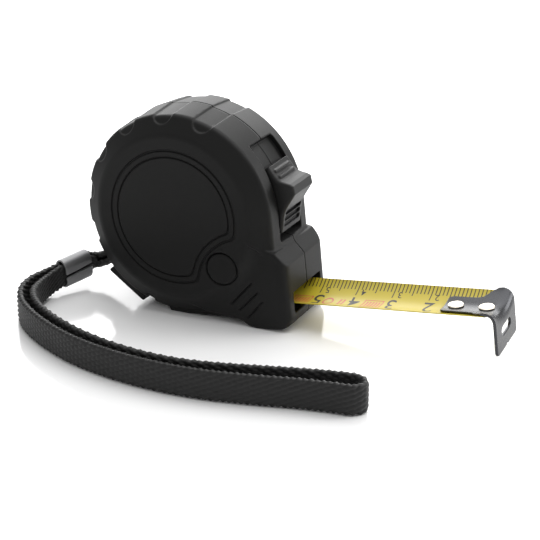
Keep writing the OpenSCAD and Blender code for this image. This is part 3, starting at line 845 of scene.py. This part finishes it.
def tick_tree(material):
    """Geometry nodes for the scale: a row of thin flat marks, longer at each fifth and tenth."""
    tree, given = node_group("Scale marks", Marks="Int", Pitch="Float", Width="Float", Zero="Float",
                             Edge="Float", Short="Float", Fifth="Float", Tenth="Float")

    def worked(operation, a, b):
        return add_node(tree, "ShaderNodeMath", {0: a, 1: b}, operation=operation).outputs[0]

    def growth(every, length, shorter):
        hit = worked("LESS_THAN", worked("MODULO", number, every), 0.5)
        return worked("MULTIPLY", hit, worked("SUBTRACT", given[length], given[shorter]))

    number = worked("ADD", add_node(tree, "GeometryNodeInputIndex").outputs[0], FIRST_MARK)
    length = worked("ADD", given["Short"], growth(5, "Fifth", "Short"))
    length = worked("ADD", length, growth(10, "Tenth", "Fifth"))
    along = worked("SUBTRACT", given["Zero"], worked("MULTIPLY", number, given["Pitch"]))
    across = worked("SUBTRACT", given["Edge"], worked("MULTIPLY", length, 0.5))
    place = add_node(tree, "ShaderNodeCombineXYZ", {"X": along, "Y": across})
    row = add_node(tree, "GeometryNodeMeshLine", {"Count": given["Marks"]})
    put = add_node(tree, "GeometryNodeSetPosition", {
        "Geometry": row.outputs["Mesh"], "Position": place.outputs["Vector"]})
    mark = add_node(tree, "GeometryNodeMeshGrid", {
        "Size X": 1, "Size Y": 1, "Vertices X": 2, "Vertices Y": 9})
    size = add_node(tree, "ShaderNodeCombineXYZ", {"X": given["Width"], "Y": length, "Z": 1})
    return set_copies(tree, put.outputs["Geometry"], mark.outputs["Mesh"], material,
                      Scale=size.outputs["Vector"])


def row_tree(material, piece):
    """Geometry nodes that set copies of a piece in a row."""
    tree, given = node_group("Row of rivets", Count="Int", First="Vector", Pitch="Vector")
    row = add_node(tree, "GeometryNodeMeshLine", {
        "Count": given["Count"], "Start Location": given["First"], "Offset": given["Pitch"]})
    shape = add_node(tree, "GeometryNodeObjectInfo", {"Object": piece})
    return set_copies(tree, row.outputs["Mesh"], shape.outputs["Geometry"], material)


def grown(name, tree, **values):
    """Runs a node tree on an empty mesh with these inputs, and gives the plain mesh it makes."""
    seed = new_object(name, bpy.data.meshes.new(name + "_seed"))
    nodes = seed.modifiers.new("Nodes", "NODES")
    nodes.node_group = tree
    for socket in tree.interface.items_tree:
        if socket.in_out == "INPUT":
            nodes[socket.identifier] = values[socket.name]
    return plain_mesh(seed)


def lay_on_blade(mesh, lift=0.02):
    """Bends a flat print mesh onto the blade's upper face, face up, and sets it in the row's frame."""
    for vertex in mesh.vertices:
        vertex.co.z = float(blade_z(vertex.co.y, lift))
    mesh.transform(BLADE_FRAME)
    up = CASE_FRAME.to_3x3() @ Vector((0, 0, 1))
    with edited(mesh) as work:
        bmesh.ops.reverse_faces(work, faces=[face for face in work.faces if face.normal.dot(up) < 0])


def flat_text(text, size):
    """Flat mesh of some figures."""
    curve = bpy.data.curves.new("figure", "FONT")
    curve.body = text
    curve.size = size
    curve.offset = 0.002 * size
    curve.shear = -0.15
    curve.align_x = "CENTER"
    curve.align_y = "CENTER"
    return plain_mesh(new_object("figure", curve))


def sliced(work, name, step=0.4):
    """Makes a flat mesh, cut in narrow strips across the blade so that it can bend."""
    for y in np.arange(-BLADE_HALF, BLADE_HALF, step):
        geometry = list(work.verts) + list(work.edges) + list(work.faces)
        bmesh.ops.bisect_plane(work, geom=geometry, plane_co=(0, y, 0), plane_no=(0, 1, 0))
    mesh = bpy.data.meshes.new(name)
    work.to_mesh(mesh)
    work.free()
    return mesh


def figures():
    """One flat mesh of the centimetre numbers: big ones near the front edge, small ones by the marks."""
    whole = bmesh.new()
    for number in range(2, 8):
        x = BLADE_END - 10 * number
        for size, dx, y, squeeze in ((8.6, 0.7, -0.9, 0.72), (3.2, 1.7, 4.0, 0.85)):
            mesh = flat_text(str(number), size)
            turn = Matrix.Rotation(math.pi, 4, "Z") @ Matrix.Diagonal((squeeze, 1, 1, 1))
            mesh.transform(Matrix.Translation((x + dx, y, 0)) @ turn)
            whole.from_mesh(mesh)
    return sliced(whole, "figures")


def frames():
    """Flat mesh of the small red frames with bars in them, between the numbers."""
    work = bmesh.new()

    def bar(x0, x1, y0, y1):
        corners = [work.verts.new((x, y, 0)) for x, y in ((x0, y0), (x1, y0), (x1, y1), (x0, y1))]
        work.faces.new(corners)

    low, high, half, line = -4.4, 0.9, 2.6, 0.32
    for x in (BLADE_END - 33.8, BLADE_END - 53.4):
        bar(x - half, x + half, low, low + line)
        bar(x - half, x + half, high - line, high)
        bar(x - half, x - half + line, low, high)
        bar(x + half - line, x + half, low, high)
        for k in range(5):
            bar(x - 1.8 + 0.8 * k, x - 1.35 + 0.8 * k, low + 0.9, high - 0.9)
    middle, steps = BLADE_END - 45.9, 16
    turns = [2 * math.pi * k / steps for k in range(steps + 1)]
    for a, b in zip(turns, turns[1:]):
        corners = [(r * math.cos(t), 1.7 * r * math.sin(t))
                   for r, t in ((1.0, a), (1.4, a), (1.4, b), (1.0, b))]
        work.faces.new([work.verts.new((middle - u, -1.7 + v, 0)) for u, v in corners])
    for x in (middle + 2.9, middle + 3.9):
        bar(x, x + 0.5, -3.6, 0.2)
    return sliced(work, "frames")


class TAPE_OT_print(bpy.types.Operator):
    """Makes the blade's scale: its marks, its numbers and the red frames between them"""

    bl_idname = "tape.print"
    bl_label = "Scale"

    def execute(self, context):
        looks = context.scene.tape_blade
        black = ink("Scale ink", tuple(looks.ink))
        marks = grown("marks", tick_tree(black), Marks=looks.marks, Pitch=1.0, Width=looks.tick_width,
                      Zero=BLADE_END, Edge=BLADE_HALF - 0.05, Short=2.7, Fifth=3.6, Tenth=4.9)
        red = ink("Red ink", tuple(looks.red))
        for name, mesh, material in (
            ("blade_marks", marks, black), ("blade_numbers", figures(), black),
            ("blade_frames", frames(), red),
        ):
            lay_on_blade(mesh)
            paint(mesh, material)
            piece = new_object(name, mesh)
            blend_blade(piece)
        return {"FINISHED"}


HOOK_T = 0.8
TONGUE_T = 0.65
FLANGE_HALF = BLADE_HALF + 0.3
FLANGE_LOW = BLADE_LOW - 8.6
RIVETS = [BLADE_END - 3.9, BLADE_END - 11.9]
TONGUE = [
    (BLADE_END - 15, -3.2), (BLADE_END - 14.6, -3.9), (BLADE_END - 13.8, -4.3), (BLADE_END - 7.6, -4.35),
    (BLADE_END - 6.2, -4.8), (BLADE_END - 4.2, -6.9), (BLADE_END - 3.0, -7.7),
    (BLADE_END - 1.8, -FLANGE_HALF), (BLADE_END + 2, -FLANGE_HALF),
]


def end_hook(x, y, z):
    """The hook: a cupped tongue that flares, turns down over a round bend and has a slot."""
    across = np.abs(y)
    plan = outline(x, -across, TONGUE + [(BLADE_END + 2, 1), (BLADE_END - 15, 1)])
    radius = np.hypot(y, z - CURVE_Z)
    outer = soft_max(x - BLADE_END - HOOK_T, BLADE_CURVE - 0.25 - TONGUE_T - radius, 3.0)
    under = soft_max(x - BLADE_END, BLADE_CURVE - 0.25 - radius, 2.2)
    form = common(soft_max(outer, -under, 0.18), z - CURVE_Z + 4)
    front = soft_max(across - FLANGE_HALF, FLANGE_LOW - z, 1.6)
    notch = np.hypot(y, z - FLANGE_LOW) - 0.55
    form = soft_max(soft_max(form, plan, 0.3), soft_max(front, -notch, 0.3), 0.3)
    slot = stroke(y, z, (-2.4, BLADE_LOW - 3.7), (2.4, BLADE_LOW - 3.7), 1.15)
    form = soft_max(form, -np.maximum(slot, BLADE_END - 1 - x), 0.25)
    for at in RIVETS:
        hole = stroke(x, y, (at - 0.8, 0), (at, 0), 0.96)
        form = np.maximum(form, -np.maximum(hole, z - CURVE_Z))
    return form


def lathe(name, profile, steps=48):
    """Closed round mesh about Z from a profile of radius and height."""
    work = bmesh.new()
    line = [work.verts.new((r, 0, z)) for r, z in profile]
    edges = [work.edges.new(pair) for pair in zip(line, line[1:])]
    bmesh.ops.spin(work, geom=line + edges, cent=(0, 0, 0), axis=(0, 0, 1), angle=2 * math.pi,
                   steps=steps, use_duplicate=False)
    bmesh.ops.remove_doubles(work, verts=work.verts, dist=1e-5)
    bmesh.ops.recalc_face_normals(work, faces=work.faces)
    mesh = bpy.data.meshes.new(name)
    work.to_mesh(mesh)
    work.free()
    mesh.shade_smooth()
    mesh.set_sharp_from_angle(angle=math.radians(50))
    return mesh


class TAPE_OT_hook(bpy.types.Operator):
    """Makes the end hook and its two rivets"""

    bl_idname = "tape.hook"
    bl_label = "End hook"

    def execute(self, context):
        looks = context.scene.tape_blade
        step = 0.19
        mesh = net_mesh("end_hook", end_hook, (
            stretch((BLADE_END - 15.5, BLADE_END + 1.2, step)), stretch((-8.4, 8.4, step)),
            stretch((FLANGE_LOW - 0.5, -19.2, step))))
        plating = black_nickel("Black nickel", tuple(looks.hook_colour))
        finish_piece("end_hook_plate", stand(mesh, BLADE_FRAME), plating, "hook", "hook_black", "end_hook")
        seat = CURVE_Z - math.sqrt((BLADE_CURVE - 0.25 - TONGUE_T) ** 2 - 2.15 ** 2) + 0.02
        tail = BLADE_LOW - 0.55
        profile = [(0, tail), (1.15, tail), (1.25, tail + 0.1), (1.25, tail + 0.32), (0.9, tail + 0.34)]
        profile += [(r, seat + rise) for r, rise in (
            (0.9, -0.02), (1.9, -0.02), (2.0, 0.06), (2.0, 0.16), (1.93, 0.26), (1.75, 0.33), (1.4, 0.37),
            (0.8, 0.39), (0, 0.4))]
        shape = new_object("rivet_shape", lathe("rivet_shape", profile))
        nickel = metal("Pale nickel", (0.78, 0.72, 0.62), (0.28, 0.4), 2200)
        rivets = grown("rivets", row_tree(nickel, shape), Count=2, First=(RIVETS[0], 0.0, 0.0),
                       Pitch=(RIVETS[1] - RIVETS[0], 0.0, 0.0))
        bpy.data.objects.remove(shape)
        rivets.transform(BLADE_FRAME)
        finish_piece("hook_rivet_pair", rivets, nickel, "blade", "rivet_nickel", "hook_rivets")
        return {"FINISHED"}


# The strap's route in millimetres in the row's frame: out of the case, through the sleeve, round
# the loop on the ground and back
STRAP_ROUTE = [
    (-49, 0, 13.2), (-53, 0, 10.8), (-57, 0, 8.4), (-60.4, -0.8, 6.6), (-62.6, -3.6, 6),
    (-65, -10.6, 5.3), (-67, -16, 4.3), (-67.6, -21, 4), (-66.8, -26.5, 4), (-64.2, -32, 4),
    (-60, -37, 4), (-54, -41.8, 4), (-46, -46.6, 4), (-36, -51, 4), (-24, -54, 4),
    (-12, -55.3, 4), (0, -54.8, 4), (12, -52.5, 4), (22, -50, 4), (30, -48.6, 4),
    (35, -47.8, 4), (36.8, -45, 4), (34, -42.2, 4), (28, -42.8, 4), (20, -44.8, 4),
    (0, -50.4, 4), (-12, -51.8, 4), (-24, -50.6, 4), (-35, -47.6, 4),
    (-44, -43.8, 4), (-52, -39.2, 4), (-58, -34.4, 4), (-62, -29.4, 4), (-64, -24, 4),
    (-64.9, -17, 4.2), (-63.5, -11, 5.3), (-61.1, -4, 6), (-59, -1, 5.4), (-53, 0, 8.2),
    (-48, 0, 10),
]
STRAP_LAST = len(STRAP_ROUTE) - 1
STRAP_STEP = 0.3
PATH_EVERY = 14
RELIEF = 0.56
UNDER_SHIFT = 40
TURN_STOPS = ([0, 2, 3, 4], [0, 15, 55, 90])
WIDTH_STOPS = ([0, 2, 4, 5, 7], [0.62, 0.66, 0.8, 0.8, 0.98])


def strap_line(step):
    """Points along the strap's route at even steps, each with its place in the list of stops."""
    stops = np.array(STRAP_ROUTE, float)
    padded = np.vstack([2 * stops[0] - stops[1], stops, 2 * stops[-1] - stops[-2]])
    spots, places = [], []
    for k in range(STRAP_LAST):
        a, b, c, d = padded[k:k + 4]
        for t in np.linspace(0, 1, 40, endpoint=False):
            spots.append(0.5 * (2 * b + (c - a) * t + (2 * a - 5 * b + 4 * c - d) * t ** 2
                                + (3 * b - a - 3 * c + d) * t ** 3))
            places.append(k + t)
    spots.append(stops[-1])
    places.append(STRAP_LAST)
    spots, places = np.array(spots), np.array(places, float)
    run = np.concatenate([[0], np.cumsum(np.linalg.norm(np.diff(spots, axis=0), axis=1))])
    even = np.linspace(0, run[-1], int(run[-1] / step) + 1)
    line = np.stack([np.interp(even, run, spots[:, d]) for d in range(3)], 1)
    return line, np.interp(even, run, places), even


def plait_height(u, v, pitch):
    """Relief of a flat plait, from 0 to 1: two sets of short strands that lie in a brick pattern."""
    height = np.zeros_like(u)
    for shift in (0, 0.5):
        along = u / (2 * pitch) + shift
        along = along - np.round(along)
        across = v / pitch + shift + along / 2
        across = across - np.round(across)
        bump = np.cos(math.pi * along) ** 2 * np.abs(np.cos(math.pi * across))
        height = np.maximum(height, np.clip(1.25 * bump, 0, 1) ** 0.6)
    return height


def strap_mesh(width, thickness, pitch):
    """Closed mesh of the plaited strap, with its UV map in millimetres along and across."""
    line, places, run = strap_line(STRAP_STEP)
    along = np.gradient(line, axis=0)
    along /= np.linalg.norm(along, axis=1, keepdims=True)
    end = np.minimum(places, STRAP_LAST - places)
    turn = np.radians(np.interp(end, *TURN_STOPS))
    half = width / 2 * np.interp(end, *WIDTH_STOPS)
    wide = np.stack([np.zeros_like(turn), np.cos(turn), -np.sin(turn)], 1)
    wide -= along * (along * wide).sum(1, keepdims=True)
    wide /= np.linalg.norm(wide, axis=1, keepdims=True)
    thick = np.cross(along, wide)
    sides, rim = 25, 5
    body = (thickness - RELIEF) / 2
    rounds = np.cos(np.linspace(0, math.pi, rim)[1:-1])
    section = [(s, 1.0) for s in np.linspace(-1, 1, sides)] + [(1, c) for c in rounds]
    section += [(s, -1.0) for s in np.linspace(1, -1, sides)] + [(-1, -c) for c in rounds]
    rings, uvs = [], []
    for s, face in section:
        scallop = 0.14 * np.sin(2 * math.pi * run / pitch + (s > 0))
        at_rim = abs(s) == 1
        flat = s * (half - 0.3 + scallop) if at_rim else s * (half - 0.35 + scallop * (abs(s) > 0.95))
        height = plait_height(run, s * width / 2 + (UNDER_SHIFT if face < 0 else 0), pitch)
        bulge = 1 - 0.35 * max(0, abs(s) - 0.75) / 0.25
        lift = face * (body * bulge + RELIEF * height * (abs(face) == 1))
        out = s * 0.25 * math.sqrt(max(0, 1 - face * face)) if at_rim else 0
        rings.append(line + wide * (flat + out)[:, None] + thick * lift[:, None])
        uvs.append(s * width / 2 + (0 if face > 0 else 3 * width))
    n = len(section)
    points = np.stack(rings, 1).reshape(-1, 3) * MM
    mesh = tube_mesh("strap", points.tolist(), n)
    layer = mesh.uv_layers.new(name="along")
    corners = np.zeros(len(mesh.loops), np.int32)
    mesh.loops.foreach_get("vertex_index", corners)
    flat_uv = np.stack([run[corners // n], np.array(uvs)[corners % n]], 1)
    layer.data.foreach_set("uv", flat_uv.astype(np.float32).ravel())
    return mesh, line[::PATH_EVERY] * MM, run[-1] * MM


def sleeve_frame():
    """Frame of the crimped sleeve: its length along X, seam toward +Y, in the row's frame."""
    spot = np.array(STRAP_ROUTE, float)
    start = (spot[4] + spot[STRAP_LAST - 3]) / 2
    end = (spot[5] + spot[STRAP_LAST - 4]) / 2
    run = Vector(end - start)
    along = run.normalized()
    side = Vector((0, 0, 1)).cross(along).normalized()
    up = along.cross(side)
    place = Matrix.Translation(Vector((start + end) / 2) * MM)
    turn = Matrix((along, side, up)).transposed().to_4x4()
    return place @ turn @ Matrix.Scale(MM, 4), run.length + 1.6


def sleeve_field(length):
    def field(x, y, z):
        def oblong(half, tall):
            return np.hypot(y, np.maximum(np.abs(z) - (tall - half), 0)) - half

        wall = soft_max(oblong(2.3, 4.0), -oblong(1.7, 3.4), 0.25)
        seam = np.maximum(np.abs(z + 0.06 * x) - 0.22 - 0.03 * np.abs(x), -y)
        wall = soft_max(wall, -seam, 0.4)
        return soft_max(wall, np.abs(x) - length / 2, 0.3)

    return field


class TAPE_OT_strap(bpy.types.Operator):
    """Makes the plaited wrist strap and its crimped sleeve"""

    bl_idname = "tape.strap"
    bl_label = "Strap"

    def execute(self, context):
        looks = context.scene.tape_strap
        mesh, path, length = strap_mesh(looks.width / MM, looks.thickness / MM, looks.plait)
        yarn = webbing("Plaited yarn", tuple(looks.colour))
        strap = finish_piece("wrist_strap", mesh, yarn, "case", "strap_webbing", "strap")
        place, sleeve_length = sleeve_frame()
        sleeve = net_mesh("ferrule", sleeve_field(sleeve_length), (
            stretch((-sleeve_length / 2 - 0.4, sleeve_length / 2 + 0.4, 0.2)), stretch((-2.7, 2.7, 0.15)),
            stretch((-4.4, 4.4, 0.2))))
        sleeve.transform(place)
        satin = metal("Satin grey nickel", (0.25, 0.25, 0.255), (0.42, 0.55), 2600, 0.75)
        ferrule = finish_piece("strap_sleeve", sleeve, satin, "case", "ferrule_metal", "ferrule")
        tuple(path[0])
        return {"FINISHED"}


class TAPE_OT_inner(bpy.types.Operator):
    """Gives the pieces inside the case and the screws their materials"""

    bl_idname = "tape.inner"
    bl_label = "Inner pieces"

    def execute(self, context):
        steel = metal("Turned steel", (0.5, 0.5, 0.5), (0.25, 0.35), 2500)
        zinc = metal("Dark zinc", (0.12, 0.12, 0.125), (0.3, 0.45), 2500)
        drum = moulded_plastic("Drum plastic", (0.08, 0.08, 0.08), (0.4, 0.5))
        spring = metal("Blued spring steel", (0.2, 0.21, 0.25), (0.22, 0.3), 2500)
        coil = bpy.data.materials["Blade lacquer"]
        lock = bpy.data.materials["Lock plastic"]
        pad = moulded_plastic("Pad rubber", (0.02, 0.02, 0.02), (0.7, 0.85))
        nickel = bpy.data.materials["Pale nickel"]
        for names, material in (
            (("spindle", "spool_washers", "blade_anchor", "strap_bar"), steel), (("case_screws",), zinc),
            (("spool_drum", "drum_cover"), drum), (("mainspring",), spring), (("blade_coil",), coil),
            (("lock_carriage",), lock), (("brake_pad",), pad), (("rivet_washers",), nickel),
        ):
            for name in names:
                paint(frame["nodes"][name].data, material)
        return {"FINISHED"}


SQUARE = ((-1, -1), (1, -1), (1, 1), (-1, 1))
FLOOR_HALF = 6


def area_light(name, at, aim, size, power):
    light = bpy.data.lights.new(name, "AREA")
    light.shape = "RECTANGLE"
    light.size, light.size_y = size
    light.energy = power
    face(new_object(name, light), at, aim)


def face(thing, at, aim):
    """Puts a light or camera at one place and turns it to another."""
    thing.location = at
    thing.rotation_euler = (Vector(aim) - Vector(at)).to_track_quat("-Z", "Y").to_euler()


class TAPE_OT_stage(bpy.types.Operator):
    """Makes the floor, the lights and the camera"""

    bl_idname = "tape.stage"
    bl_label = "Stage"

    def execute(self, context):
        looks = context.scene.tape_stage
        scene = context.scene
        mesh = bpy.data.meshes.new("floor")
        mesh.from_pydata([(u * FLOOR_HALF, v * FLOOR_HALF, 0) for u, v in SQUARE], [], [(0, 1, 2, 3)])
        floor = new_object("floor", mesh)
        paint(mesh, node_material("Pale floor", tuple(looks.floor), 0.12)[0])
        floor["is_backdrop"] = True
        world = bpy.data.worlds.new("Studio")
        scene.world = world
        world.use_nodes = True
        light = world.node_tree.nodes["Background"].inputs
        light["Color"].default_value = (*looks.floor, 1)
        light["Strength"].default_value = looks.surround
        area_light("Overhead", (0.15, 0.35, 1.1), (0.02, 0, 0), (1.6, 1.2), looks.key)
        area_light("Back card", (-0.45, 1.0, 0.42), (0, 0, 0.03), (1.4, 0.6), looks.key * 0.7)
        area_light("Back right", (0.75, 0.55, 0.35), (0, 0, 0.03), (0.5, 0.5), looks.key * 0.28)
        scene.view_settings.view_transform = "Standard"
        camera = bpy.data.cameras.new("Camera")
        camera.lens = looks.lens
        camera.clip_start = 0.01
        scene.camera = new_object("Camera", camera)
        face(scene.camera, (0.15852, -0.35724, 0.16504), (-0.00799, 0, 0.01159))
        return {"FINISHED"}


class TAPE_PT_panel(bpy.types.Panel):
    """Lists the steps that build the tape measure"""

    bl_idname = "TAPE_PT_panel"
    bl_label = "Tape measure"
    bl_space_type = "VIEW_3D"
    bl_region_type = "UI"
    bl_category = "Tape"

    def draw(self, context):
        for group in ("tape_case", "tape_blade", "tape_strap", "tape_stage"):
            settings = getattr(context.scene, group)
            for name in settings.__annotations__:
                self.layout.prop(settings, name)
        for operator in OPERATORS:
            self.layout.operator(operator.bl_idname)


GROUPS = {
    "tape_case": TAPE_PG_case, "tape_blade": TAPE_PG_blade, "tape_strap": TAPE_PG_strap,
    "tape_stage": TAPE_PG_stage,
}
OPERATORS = (
    TAPE_OT_stage, TAPE_OT_strap, TAPE_OT_case, TAPE_OT_lock, TAPE_OT_blade, TAPE_OT_print, TAPE_OT_hook,
    TAPE_OT_inner,
)


def register():
    for group in GROUPS.values():
        bpy.utils.register_class(group)
    for name, group in GROUPS.items():
        setattr(bpy.types.Scene, name, PointerProperty(type=group))
    for operator in OPERATORS:
        bpy.utils.register_class(operator)
    bpy.utils.register_class(TAPE_PT_panel)


def unregister():
    bpy.utils.unregister_class(TAPE_PT_panel)
    for operator in reversed(OPERATORS):
        bpy.utils.unregister_class(operator)
    for name, group in GROUPS.items():
        delattr(bpy.types.Scene, name)
        bpy.utils.unregister_class(group)


def main():
    register()
    for operator in OPERATORS:
        group, name = operator.bl_idname.split(".")
        getattr(getattr(bpy.ops, group), name)()
    bpy.context.view_layer.update()
    boxes = {"cad": CAD_BOX, "visual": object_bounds()}
    {name: [list(corner) for corner in box] for name, box in boxes.items()}


if __name__ == "__main__":
    main()
